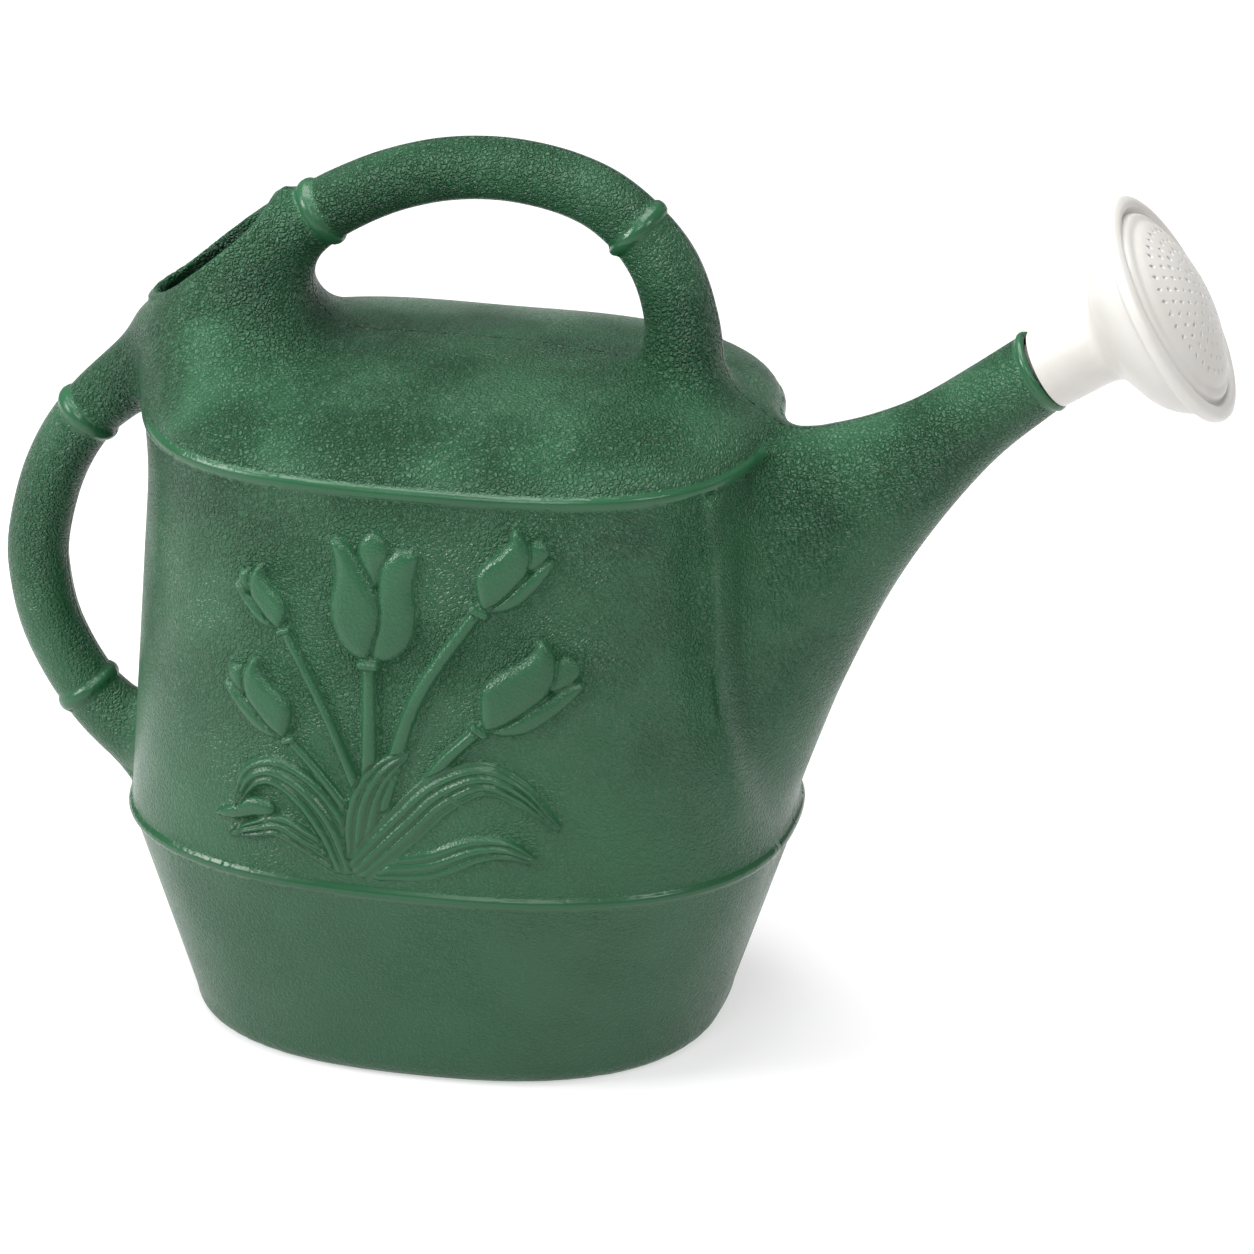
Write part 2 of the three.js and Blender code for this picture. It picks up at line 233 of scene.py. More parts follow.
class Swept:
    """A body swept through oval sections across the plane y = 0, each between a left and a right line."""

    STEPS = 10  # along the lines, from each point to the next

    def __init__(self, left, right, half_widths, insets):
        count = self.STEPS * (len(left) - 1) + 1
        self.left = spline(left, count)
        self.right = spline(right, count)
        place = np.linspace(0, 1, count)
        self.half_width = np.interp(place, np.linspace(0, 1, len(half_widths)), half_widths)
        self.inset = np.interp(place, np.linspace(0, 1, len(insets)), insets)

    def before_sections(self, x, z):
        """How far points lie before each section, and the number of the section nearest to each."""
        across = self.right - self.left
        side = (across[:, None, 0] * (z - self.left[:, None, 1])
                - across[:, None, 1] * (x - self.left[:, None, 0])) / np.hypot(*across.T)[:, None]
        middle = (self.left + self.right) / 2
        return side, np.argmin(np.hypot(x - middle[:, None, 0], z - middle[:, None, 1]), axis=0)

    def section(self, x, z):
        """Place across the section at x and z, its half height, half width and inset, and how far they
        are past the body's ends."""
        x, z = np.broadcast_arrays(x, z)
        shape = x.shape
        x, z = x.ravel(), z.ravel()
        side, near = self.before_sections(x, z)
        # The section on which a point lies is where the side changes sign.
        crossing = (side[:-1] >= 0) & (side[1:] < 0)
        span = np.arange(len(side) - 1)[:, None]
        index = np.argmin(np.where(crossing, np.abs(span - near), np.inf), axis=0)
        column = np.arange(len(x))
        found = crossing[index, column]
        at_end = near > len(side) // 2
        index = np.where(found, index, np.where(at_end, len(side) - 2, 0))
        here, following = side[index, column], side[index + 1, column]
        t = np.where(found, here / np.maximum(here - following, 1e-9), at_end)
        left, right = between(self.left, index, t), between(self.right, index, t)
        half = np.hypot(*(right - left).T) / 2
        unit = (right - left) / (2 * half[:, None])
        centre = (left + right) / 2
        place = (x - centre[:, 0]) * unit[:, 0] + (z - centre[:, 1]) * unit[:, 1]
        beyond = np.maximum(side[-1], -side[0])
        parts = (place, half, between(self.half_width, index, t), between(self.inset, index, t), beyond)
        return tuple(part.reshape(shape) for part in parts)

    def field(self, x, y, z):
        """Distance outside the body, drawn in by its inset."""
        place, half, half_width, inset, beyond = self.section(x, z)
        half, half_width = half - inset, half_width - inset
        u = np.maximum(np.abs(place) / half, TINY)
        v = np.maximum(np.abs(y) / half_width, TINY)
        gauge = (u ** 2 + v ** 2) ** (1 / 2)
        slope = gauge ** -1 * np.hypot(u / half, v / half_width)
        return np.maximum((gauge - 1) / slope, beyond)


# ---- The can's parts ---------------------------------------------------------------------------

TOP_HANDLE = Bar(
    [(-92, 250), (-72, 272), (-53.2, 286.9), (-38.5, 295.8), (-24.4, 302.1), (-8, 306.7), (9, 308.4),
     (24.8, 307.2), (38.8, 303.8), (50, 298.4), (61, 289), (69.5, 277), (74.5, 262), (76, 246), (75, 228)],
    [16, 14, 11.3, 11, 10.9, 10.9, 10.9, 10.9, 10.9, 11, 11.2, 12, 12.6, 14, 17],
    rings=[(-51.8, 288), (58.9, 291)])
REAR_HANDLE = Bar(
    [(-96, 246), (-117, 225.5), (-137, 206.4), (-149, 186), (-155.6, 162), (-156.0, 145), (-151.1, 124.2),
     (-138.8, 102.6), (-123, 88), (-104, 76)],
    [14, 12.6, 11, 10.9, 10.9, 10.9, 10.9, 11, 12.5, 16],
    rings=[(-137, 206.4), (-138.8, 102.6)])

MOUTH_REAR, MOUTH_FRONT = (-111.5, 253.0), (-66.0, 291.0)
HOOD_REAR = [(-92, 190), (-112, 222), (-117, 243), MOUTH_REAR]
HOOD_FRONT = [(-32, 222), (-50, 246), (-58, 268), MOUTH_FRONT]
HOOD_WIDTHS = [58, 44, 31, 24.5]

SPOUT_MOUTH = np.array([200.1, 251.3])
SPOUT_RISE = math.radians(34)
SPOUT_RADIUS = 14.1
SPOUT_ACROSS = np.array([-math.sin(SPOUT_RISE), math.cos(SPOUT_RISE)])
SPOUT_OUT = np.array([math.cos(SPOUT_RISE), math.sin(SPOUT_RISE)])
SPOUT_UPPER = [(76, 221), (115.5, 223), (130, 226), (144, 231), (158, 238), (175, 250),
               SPOUT_MOUTH + SPOUT_RADIUS * SPOUT_ACROSS]
SPOUT_LOWER = [(98, 62), (117.5, 88), (134, 130.5), (150.6, 167), (168, 195.5), (187, 220),
               SPOUT_MOUTH - SPOUT_RADIUS * SPOUT_ACROSS]
SPOUT_WIDTHS = [36, 32, 25, 20.3, 16.8, 15, SPOUT_RADIUS]


def lengthened(left, right, extra):
    """Both lines of a swept body, carried straight on past its last section by some extra length."""
    across = np.subtract(left[-1], right[-1])
    out = np.array([across[1], -across[0]]) / np.hypot(*across) * extra
    return list(left) + [np.add(left[-1], out)], list(right) + [np.add(right[-1], out)]


LIP_TUBE, LIP_TUCK = 1.6, 0.6
MOUTH_EDGE = 1.1  # rounding of the mouths' edges
OPENING = 10  # how far the hollow is carried past the two mouths

HOOD = Swept(HOOD_REAR, HOOD_FRONT, HOOD_WIDTHS, [0])
SPOUT = Swept(SPOUT_UPPER, SPOUT_LOWER, SPOUT_WIDTHS, [0])
HOOD_HOLLOW = Swept(*lengthened(HOOD_REAR, HOOD_FRONT, OPENING), HOOD_WIDTHS + HOOD_WIDTHS[-1:],
                    [WALL_DEEP, WALL_DEEP, WALL_DEEP, WALL, WALL])
SPOUT_HOLLOW = Swept(*lengthened(SPOUT_UPPER, SPOUT_LOWER, OPENING), SPOUT_WIDTHS + SPOUT_WIDTHS[-1:],
                     [SPOUT_DEEP, SPOUT_DEEP, SPOUT_DEEP, 9.5, 8, 6.5, WALL, WALL])


def from_spout_mouth(x, z):
    """Distances past the spout's mouth and across its axis, in the plane y = 0."""
    past = (x - SPOUT_MOUTH[0]) * SPOUT_OUT[0] + (z - SPOUT_MOUTH[1]) * SPOUT_OUT[1]
    across = (x - SPOUT_MOUTH[0]) * SPOUT_ACROSS[0] + (z - SPOUT_MOUTH[1]) * SPOUT_ACROSS[1]
    return past, across


def outer_field(x, y, z):
    """Distance outside the can, taken as solid."""
    outer = body_field(x, y, z)
    outer = soft_union(outer, HOOD.field(x, y, z), HOOD_BLEND)
    outer = soft_union(outer, SPOUT.field(x, y, z), SPOUT_BLEND)
    outer = soft_union(outer, TOP_HANDLE.field(x, y, z), TOP_HANDLE_BLEND)
    outer = soft_union(outer, REAR_HANDLE.field(x, y, z), REAR_HANDLE_BLEND)
    # The rolled lip of the spout.
    past, across = from_spout_mouth(x, z)
    lip = np.hypot(past, np.hypot(across, y) - SPOUT_RADIUS + LIP_TUCK) - LIP_TUBE
    return np.minimum(outer, lip)


def hollow_field(x, y, z):
    """Distance outside the space in the can."""
    inner = body_field(x, y, z, inset=WALL_DEEP)
    inner = soft_union(inner, HOOD_HOLLOW.field(x, y, z), HOOD_HOLLOW_BLEND)
    return soft_union(inner, SPOUT_HOLLOW.field(x, y, z), SPOUT_HOLLOW_BLEND)


def can_field(x, y, z):
    return soft_cut(outer_field(x, y, z), hollow_field(x, y, z), MOUTH_EDGE)


# ---- The flower relief -------------------------------------------------------------------------
# A raised bunch of tulips on each broad side of the barrel, drawn in x and z. It is made of strokes and
# pads, rounded across. A later one lies over the earlier ones, which leaves a crease round it.

STROKE_FULLNESS = 0.42  # less is flatter on top and steeper at the sides
STROKE_LEAST, STROKE_FULL = 0.45, 4  # a stroke's height grows with its half width, to this one
VALLEY_DEPTH = 0.6  # share of a leaf's height lost between its ridges
UNDER_SHARE = 0.4  # how much of a covered piece's height is left in the crease beside its cover
OFF_RELIEF = -9.0
STROKE_STEPS, PAD_STEPS = 10, 5  # along their curves, from each point to the next


class Stroke:
    """A raised band along a line, with its half widths from end to end and ridges along it."""

    def __init__(self, points, widths, height, ridges=1):
        self.points, self.height, self.ridges = np.array(points, float), height, ridges
        count = STROKE_STEPS * (len(points) - 1) + 1
        self.line = spline(points, count)
        self.width = np.interp(np.linspace(0, 1, count), np.linspace(0, 1, len(widths)), widths)
        self.reach = max(widths)

    def height_at(self, x, z):
        """The height inside the band, and below 0 outside it."""
        best = np.full(x.shape, OFF_RELIEF)
        for i in range(len(self.line) - 1):
            step = self.line[i + 1] - self.line[i]
            size = step @ step
            t = np.clip(((x - self.line[i][0]) * step[0] + (z - self.line[i][1]) * step[1]) / size, 0, 1)
            dx, dz = x - self.line[i][0] - t * step[0], z - self.line[i][1] - t * step[1]
            here = self.width[i] + t * (self.width[i + 1] - self.width[i])
            q = (dx * step[1] - dz * step[0]) / math.sqrt(size) / here
            inside = 1 - (dx * dx + dz * dz) / here ** 2
            share = np.minimum(1, STROKE_LEAST + here / STROKE_FULL)
            level = np.maximum(inside, 0) ** STROKE_FULLNESS * share
            if self.ridges > 1:
                valley = (0.5 - 0.5 * np.cos(self.ridges * math.pi * q)) ** 2
                level = level * (1 - VALLEY_DEPTH * valley)
            best = np.maximum(best, np.where(inside > 0, level * self.height, inside))
        return best


class Pad:
    """A raised pad inside a closed outline, rounded down to it over a given width."""

    def __init__(self, points, rounding, height):
        self.points, self.rounding, self.height = np.array(points, float), rounding, height
        closed = np.vstack([self.points, self.points[:1]])
        self.line = spline(closed, PAD_STEPS * len(points) + 1)
        self.reach = rounding

    def height_at(self, x, z):
        """The height inside the pad, and below 0 outside it."""
        nearest = np.full(x.shape, FAR)
        inside = np.zeros(x.shape, bool)
        for start, end in zip(self.line, self.line[1:]):
            step = end - start
            t = np.clip(((x - start[0]) * step[0] + (z - start[1]) * step[1]) / (step @ step), 0, 1)
            away = np.hypot(x - start[0] - t * step[0], z - start[1] - t * step[1])
            nearest = np.minimum(nearest, away)
            if step[1]:
                spans = (start[1] > z) != (end[1] > z)
                inside ^= spans & (x < start[0] + step[0] * (z - start[1]) / step[1])
        edge = 1 - np.clip(nearest / self.rounding, 0, 1)
        return np.where(inside, self.height * np.sqrt(1 - edge ** 2), -nearest)


# Petals of a bloom, from the back to the front: outline points (along, aside) and height. The points are
# shares of the bloom's length.
OPEN_TULIP = [
    ([(0.62, 0.05), (0.77, -0.05), (0.9, -0.1), (1.03, -0.05), (1.07, 0.03), (1.02, 0.12), (0.9, 0.15),
      (0.78, 0.1)], 2.5),
    ([(0.0, 0.02), (0.02, 0.17), (0.12, 0.3), (0.27, 0.37), (0.45, 0.38), (0.63, 0.355), (0.79, 0.38),
      (0.9, 0.4), (0.95, 0.35), (0.95, 0.24), (0.87, 0.14), (0.74, 0.075), (0.55, 0.06), (0.3, 0.03)], 3.0),
    ([(0.0, 0.0), (0.03, -0.12), (0.13, -0.235), (0.3, -0.305), (0.47, -0.32), (0.63, -0.29), (0.77, -0.285),
      (0.9, -0.31), (0.98, -0.33), (1.01, -0.28), (0.98, -0.19), (0.88, -0.11), (0.745, -0.03), (0.61, 0.05),
      (0.45, 0.1), (0.3, 0.095), (0.16, 0.05)], 3.7),
]
HALF_TULIP = [
    ([(0.64, 0.33), (0.69, 0.26), (0.89, 0.2), (0.99, 0.235), (1.0, 0.36), (0.91, 0.43), (0.74, 0.42)], 2.4),
    ([(0.0, 0.06), (0.17, 0.1), (0.4, 0.22), (0.61, 0.33), (0.74, 0.38), (0.85, 0.47), (0.83, 0.53),
      (0.67, 0.52), (0.43, 0.46), (0.19, 0.36), (0.04, 0.2)], 2.9),
    ([(0.0, 0.0), (0.14, -0.11), (0.31, -0.2), (0.51, -0.165), (0.68, -0.08), (0.85, -0.025), (0.985, -0.045),
      (1.02, 0.035), (0.93, 0.17), (0.8, 0.265), (0.6, 0.31), (0.39, 0.26), (0.17, 0.18), (0.0, 0.065)], 3.6),
]
PETAL_ROUNDING = 0.13  # share of the bloom's length over which a petal rounds down to its edge

# Flowers: base of the bloom, lean in degrees, length, petals, which way it opens, the stem's root,
# how far the stem bows aside, and its half width.
FLOWERS = [
    ((-13.0, 159.3), 0, 43, OPEN_TULIP, 1, (-13.0, 106), 0.3, 2.7),
    ((25.4, 181.8), 23, 30.5, HALF_TULIP, 1, (-8, 108), 5.5, 2.6),
    ((26.2, 138.9), 33, 38, HALF_TULIP, 1, (2, 102), 3.5, 2.4),
    ((-43.7, 167.8), -22, 22.5, HALF_TULIP, -1, (-15, 108), 1.5, 1.9),
    ((-41.8, 128.4), -25, 29, HALF_TULIP, -1, (-20, 104), 1.0, 1.9),
]
STEM_HEIGHT = 2.9
STEM_TAPER = [0.85, 1, 1.15]  # shares of its half width, from the bloom to the root
# The collar under a bloom. Its place and size are in millimetres and shares of the stem's half width.
COLLAR_HEIGHT = 3.9
COLLAR_DROP = 1.2
COLLAR_REACH = 0.85
COLLAR_THICKNESS = 0.75

# Leaves, in the order they lie on each other: their line from the root to the tip, greatest half width
# and number of ridges.
LEAVES = [
    ([(-24, 84.5), (-35, 91), (-45, 95), (-54, 92.5), (-64, 88.5)], 4.8, 3),
    ([(-8, 84), (9, 87), (24, 93.5), (35, 95), (45, 91.5)], 5.6, 3),
    ([(-49, 101), (-55, 100.5), (-61, 97.5), (-68.5, 95)], 3.7, 1),
    ([(-21, 86), (-26, 98), (-35, 109), (-46, 114.5), (-55, 111.5), (-60.5, 101.5)], 7.0, 3),
    ([(-16.5, 90), (-16, 98), (-14.5, 107), (-11, 115.5), (-6, 122), (0, 126.5)], 6.0, 3),
    ([(-14, 86), (-1, 100), (12, 113.5), (27, 120.5), (40, 115.5), (52, 104)], 7.4, 4),
]
LEAF_HEIGHT = 3.0
LEAF_TAPER = [0.8, 1, 1, 0.85, 0.65, 0.24]  # shares of its half width, from the root to the tip

# The flat map that the relief is drawn into, and where it lies on the can.
RELIEF_LOW = np.array([-78.0, 74.0])
RELIEF_HIGH = np.array([74.0, 214.0])
RELIEF_STEP = 0.25
RELIEF_MARGIN = 3  # drawn round each piece
CELL_MARGIN = 0.001  # keeps a place on the map before its last line
RELIEF_HALF_LENGTH = 80
RELIEF_SIDES = 45  # how far from the middle plane the broad sides begin


def flower(base, lean, length, petals, side, root, bow, half_width):
    """A stem, the petals of its bloom and the collar between them, from the back to the front."""
    base, root = np.array(base, float), np.array(root, float)
    angle = math.radians(lean)
    ahead = np.array([math.sin(angle), math.cos(angle)])
    aside = np.array([math.cos(angle), -math.sin(angle)])
    along = (root - base) / np.hypot(*(root - base))
    middle = (base + root) / 2 + bow * np.array([-along[1], along[0]]) * np.sign(along[0] or 1)
    shapes = [Stroke([base, middle, root], [half_width * share for share in STEM_TAPER], STEM_HEIGHT)]
    for points, height in petals:
        outline = [base + length * (a * ahead + side * b * aside) for a, b in points]
        shapes.append(Pad(outline, PETAL_ROUNDING * length, height))
    ends = [base - COLLAR_DROP * ahead + turn * COLLAR_REACH * half_width * aside for turn in (-1, 1)]
    shapes.append(Stroke(ends, [COLLAR_THICKNESS * half_width] * 2, COLLAR_HEIGHT))
    return shapes


def leaf(line, half_width, ridges):
    return Stroke(line, [half_width * share for share in LEAF_TAPER], LEAF_HEIGHT, ridges)


def draw_relief():
    """The relief's height over its map, and below 0 off it."""
    lines = [np.arange(RELIEF_LOW[k], RELIEF_HIGH[k] + RELIEF_STEP, RELIEF_STEP) for k in (0, 1)]
    height = np.full((len(lines[0]), len(lines[1])), OFF_RELIEF)
    shapes = [shape for spec in FLOWERS for shape in flower(*spec)] + [leaf(*spec) for spec in LEAVES]
    for shape in shapes:
        low = (shape.points.min(0) - shape.reach - RELIEF_MARGIN - RELIEF_LOW) / RELIEF_STEP
        high = (shape.points.max(0) + shape.reach + RELIEF_MARGIN - RELIEF_LOW) / RELIEF_STEP
        window = tuple(slice(max(int(low[k]), 0), int(high[k]) + 1) for k in (0, 1))
        x, z = np.meshgrid(lines[0][window[0]], lines[1][window[1]], indexing="ij")
        level = shape.height_at(x, z)
        covered = np.maximum(level, UNDER_SHARE * height[window])
        height[window] = np.where(level > 0, covered, np.maximum(level, height[window]))
    # A slight softening, as a mould's edges have: each point is averaged with its four neighbours.
    padded = np.pad(height, 1, mode="edge")
    return (padded[1:-1, 1:-1] * 2 + padded[:-2, 1:-1] + padded[2:, 1:-1] + padded[1:-1, :-2]
            + padded[1:-1, 2:]) / 6


RELIEF = draw_relief()
STEEPNESS = np.hypot(*np.gradient(np.maximum(RELIEF, 0), RELIEF_STEP))


def relief_at(x, y, z, drawing=RELIEF):
    """The relief's height on the barrel's two broad sides, or another drawing's value there."""
    place = [(v - RELIEF_LOW[k]) / RELIEF_STEP for k, v in enumerate((x, z))]
    on_side = (np.abs(y) > RELIEF_SIDES) & (np.abs(x) < RELIEF_HALF_LENGTH)
    on_side &= (z > RELIEF_LOW[1]) & (z < RELIEF_HIGH[1])
    place = [np.clip(p, 0, drawing.shape[k] - 1 - CELL_MARGIN) for k, p in enumerate(place)]
    i, j = (p.astype(int) for p in place)
    s, t = place[0] - i, place[1] - j
    height = ((1 - s) * (1 - t) * drawing[i, j] + s * (1 - t) * drawing[i + 1, j]
              + (1 - s) * t * drawing[i, j + 1] + s * t * drawing[i + 1, j + 1])
    return np.where(on_side, height, OFF_RELIEF)


# ---- From field to mesh ------------------------------------------------------------------------

SLOPE_STEP = 0.05
LEAST_SLOPE = 0.2
LONGEST_MOVE = 1.5  # of a point on its way to the surface
HALF_WIDTH = CAD_BOX[1][1] / MM
FULL_ROOM = 4.0  # the relief is lower where the can is nearly as wide as it may be

SKIN = 1.8  # a point deeper than this is on the inner wall
REACHES = (2.2, 0.9)  # faces this near a feature are cut finer, once for each
FINEST = 1.1  # faces smaller than this, in square millimetres, are fine enough
STEEP, STEEP_FINEST = 0.45, 0.4  # relief steeper than this is cut once more, down to this face size
SETTLED = 4.0  # points this near a feature are moved onto the surface again
BEAD_MARGIN = 0.8
RING_CLEARANCE = 3  # how far outside its bar a ring's neighbourhood reaches

# Widths over which the smooth plastic of beads, rings and the lip turns into the grained one.
BEAD_FADE, RING_FADE, LIP_FADE = 0.8, 2.5, 1.5
LIP_START = 3  # how far before the spout's mouth the smooth lip begins
RING_NEAR = 30
RELIEF_FADE = 0.5  # height at which the relief is as smooth as it gets
RELIEF_SMOOTHNESS = 0.7


def grid_lines(low, high, coarse, fine, fine_spans):
    """Coordinates from low to high, with the fine step inside the spans and the coarse one outside."""
    lines = [low]
    while lines[-1] < high:
        inside = any(a <= lines[-1] < b for a, b in fine_spans)
        lines.append(lines[-1] + (fine if inside else coarse))
    return np.array(lines)


def crossed_edges(lines, value, axis):
    """The grid edges along an axis that the surface crosses, where it does, and which start inside."""
    low = [slice(None)] * 3
    high = [slice(None)] * 3
    low[axis] = slice(None, -1)
    high[axis] = slice(1, None)
    start, end = value[tuple(low)], value[tuple(high)]
    crossed = (start < 0) != (end < 0)
    spot = np.argwhere(crossed)
    start, end = start[crossed], end[crossed]
    place = np.stack([lines[k][spot[:, k]] for k in range(3)], -1)
    place[:, axis] += start / (start - end) * np.diff(lines[axis])[spot[:, axis]]
    return spot, place, start < 0


def cells_beside(spot, others, steps):
    """The cells at one of the four corners round grid edges, by steps back along the other two axes."""
    cell = spot.copy()
    for axis, step in zip(others, steps):
        cell[:, axis] -= step
    return cell


def surface_nets(lines, value):
    """One vertex in each cell that the surface crosses, and one quad for each crossed grid edge."""
    shape = tuple(n - 1 for n in value.shape)
    total = np.zeros(shape + (3,), np.float32)
    count = np.zeros(shape, np.float32)
    edges = []
    for axis in range(3):
        others = [k for k in range(3) if k != axis]
        spot, place, starts_inside = crossed_edges(lines, value, axis)
        for steps in ((0, 0), (0, 1), (1, 0), (1, 1)):
            cell = cells_beside(spot, others, steps)
            fits = np.all((cell >= 0) & (cell < shape), axis=1)
            index = tuple(cell[fits].T)
            np.add.at(count, index, 1)
            np.add.at(total, index, place[fits])
        edges.append((axis, others, spot, starts_inside))
    number = np.full(shape, -1, np.int64)
    used = count > 0
    number[used] = np.arange(used.sum())
    vertices = total[used] / count[used][:, None]
    quads = []
    for axis, others, spot, starts_inside in edges:
        around = ((0, 0), (1, 0), (1, 1), (0, 1))
        quad = np.stack([number[tuple(cells_beside(spot, others, steps).T)] for steps in around], -1)
        turned = starts_inside if axis != 1 else ~starts_inside
        quad[turned] = quad[turned][:, ::-1]
        quads.append(quad)
    return vertices.astype(float), np.concatenate(quads)


def value_and_slope(points, field):
    x, y, z = points.T
    value = field(x, y, z)
    ahead = (field(x + SLOPE_STEP, y, z), field(x, y + SLOPE_STEP, z), field(x, y, z + SLOPE_STEP))
    return value, np.stack([there - value for there in ahead], -1) / SLOPE_STEP


def settle(points, field, rounds):
    """Moves points onto the surface of a field, along its slope."""
    for _ in range(rounds):
        value, slope = value_and_slope(points, field)
        step = -value[:, None] * slope / np.maximum((slope ** 2).sum(1), LEAST_SLOPE)[:, None]
        points = points + np.clip(step, -LONGEST_MOVE, LONGEST_MOVE)
    return points


def emboss(points):
    """Lifts points of the barrel by the relief, straight out of the surface."""
    _, slope = value_and_slope(points, body_field)
    steepness = np.hypot(np.hypot(slope[:, 0], slope[:, 1]), slope[:, 2])
    outwards = slope / np.maximum(steepness, LEAST_SLOPE)[:, None]
    room = np.clip((HALF_WIDTH - np.abs(points[:, 1])) / FULL_ROOM, 0, 1)
    return points + outwards * (room * np.maximum(relief_at(*points.T), 0))[:, None]


def bead_distance(z):
    nearest = np.minimum(np.abs(z - LOWER_BEAD["height"]), np.abs(z - UPPER_BEAD["height"]))
    return nearest - BEAD_HALF_WIDTH


def feature_distance(points):
    """How far points are outside the nearest bead, ring or relief, in millimetres."""
    x, y, z = points.T
    nearest = bead_distance(z) - BEAD_MARGIN
    for bar in (TOP_HANDLE, REAR_HANDLE):
        away, radius, along = bar.section(x, z)
        outside = np.hypot(away, y) - radius - RING_CLEARANCE
        for ring in bar.rings:
            nearest = np.minimum(nearest, np.maximum(np.abs(along - ring) - RING_HALF_WIDTH, outside))
    nearest = np.minimum(nearest, -relief_at(x, y, z))
    return np.where(outer_field(x, y, z) < -SKIN, FAR, nearest)


def cut_finer(shape, reach, finest, steepness=None):
    """Cuts the faces near a feature into four, down to a face size. A steepness limits it to the relief."""
    shape.faces.ensure_lookup_table()
    centre = np.array([face.calc_center_median() for face in shape.faces])
    chosen = feature_distance(centre) < reach
    chosen &= np.array([face.calc_area() for face in shape.faces]) > finest
    if steepness:
        chosen &= relief_at(*centre.T, drawing=STEEPNESS) > steepness
    edges = {edge for face, take in zip(shape.faces, chosen) if take for edge in face.edges}
    bmesh.ops.subdivide_edges(shape, edges=list(edges), cuts=1, use_grid_fill=True)


def smoothness(points):
    """1 where the moulding is plain and glossy, on beads, rings and the lip, and 0 where it is grained."""
    x, y, z = points.T
    on_body = np.abs(body_field(x, y, z)) < 1
    level = np.where(on_body, 1 - np.maximum(bead_distance(z), 0) / BEAD_FADE, 0)
    level = np.maximum(level, np.clip(relief_at(x, y, z) / RELIEF_FADE, 0, RELIEF_SMOOTHNESS))
    for bar in (TOP_HANDLE, REAR_HANDLE):
        away, _, along = bar.section(x, z)
        for ring in bar.rings:
            beside = np.maximum(np.abs(along - ring) - RING_HALF_WIDTH, 0)
            level = np.maximum(level, np.where(away < RING_NEAR, 1 - beside / RING_FADE, 0))
    past, _ = from_spout_mouth(x, z)
    level = np.maximum(level, (past + LIP_START) / LIP_FADE)
    return np.clip(level, 0, 1)


def link_piece(name, mesh):
    piece = bpy.data.objects.new(name, mesh)
    bpy.context.scene.collection.objects.link(piece)
    return piece


def sampled_can():
    """The can's surface as points and quads."""
    lines = [grid_lines(*span, COARSE, FINE, fine) for span, fine in zip(SPACE, FINE_SPANS)]
    x, y, z = np.meshgrid(*lines, indexing="ij", sparse=True)
    points, quads = surface_nets(lines, can_field(x, y, z).astype(np.float32))
    return settle(points, can_field, 2), quads


def refined_can(points, quads):
    """A mesh of the quads, cut finer round the beads and rings and in the relief."""
    shape = bmesh.new()
    corners = [shape.verts.new(p) for p in points]
    for quad in quads:
        shape.faces.new([corners[i] for i in quad])
    for reach in REACHES:
        cut_finer(shape, reach, FINEST)
    cut_finer(shape, REACHES[-1], STEEP_FINEST, STEEP)
    return shape


def finished_points(points):
    """Points with the ones near features back on the surface, and the relief raised."""
    near = feature_distance(points) < SETTLED
    points[near] = settle(points[near], can_field, 1)
    raised = (relief_at(*points.T) > 0) & near
    points[raised] = emboss(points[raised])
    return points


def make_can():
    shape = refined_can(*sampled_can())
    points = finished_points(np.array([corner.co for corner in shape.verts]))
    for corner, place in zip(shape.verts, points):
        corner.co = place * MM
    mesh = bpy.data.meshes.new("can_body")
    shape.to_mesh(mesh)
    shape.free()
    mesh.attributes.new("smooth", "FLOAT", "POINT").data.foreach_set("value", smoothness(points))
    mesh.shade_smooth()
    body = link_piece("can_body", mesh)
    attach(body, "can")
    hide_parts("lower_tub", "barrel_wall", "shoulder_deck", "filler_hood", "spout", "top_handle_grip",
                "top_handle_front_leg", "rear_handle_grip", "rear_handle_foot")
    return body


can = make_can()


# ---- The rose ----------------------------------------------------------------------------------
# Both pieces are turned about the joint's axis. Their outlines are given as radius and height over
# the spout's mouth.

ROSE_JOINT = next(j for j in frame["joints"] if j["name"] == "rose_turn")
ROSE_AXIS = Vector(ROSE_JOINT["axis"]).normalized()
ROSE_ORIGIN = Vector((SPOUT_MOUTH[0], 0, SPOUT_MOUTH[1])) * MM

ROSE_SIDES = 160
BELL_OUTSIDE = [(13.7, 2.3), (14.2, 2.9), (14.1, 8), (13.9, 15), (13.8, 20), (14.1, 23.4), (15.4, 26.6),
                (18.8, 29.3), (23.6, 31.9), (28.5, 34.8), (32.4, 38.5), (35.3, 42.9), (36.9, 46.6),
                (37.3, 48.4)]
BELL_WALL = 1.7
BELL_LIFT = 0.5  # of its inside over its outside
BORE_TOP, NECK_TOP = 14, 20  # where the spigot's bore ends, and the hollow of the bell begins
SPIGOT_RADIUS, SPIGOT_END = 10.6, -10.0
SPIGOT_CHAMFER, SPIGOT_CHAMFER_HEIGHT = 0.5, 0.8

DOME_TOP, DOME_RADIUS, DOME_DROP, DOME_POWER = 62.6, 29.8, 6.9, 2.1
DOME_BACK_RADIUS = DOME_RADIUS - 0.6
FACE_WALL = 1.6
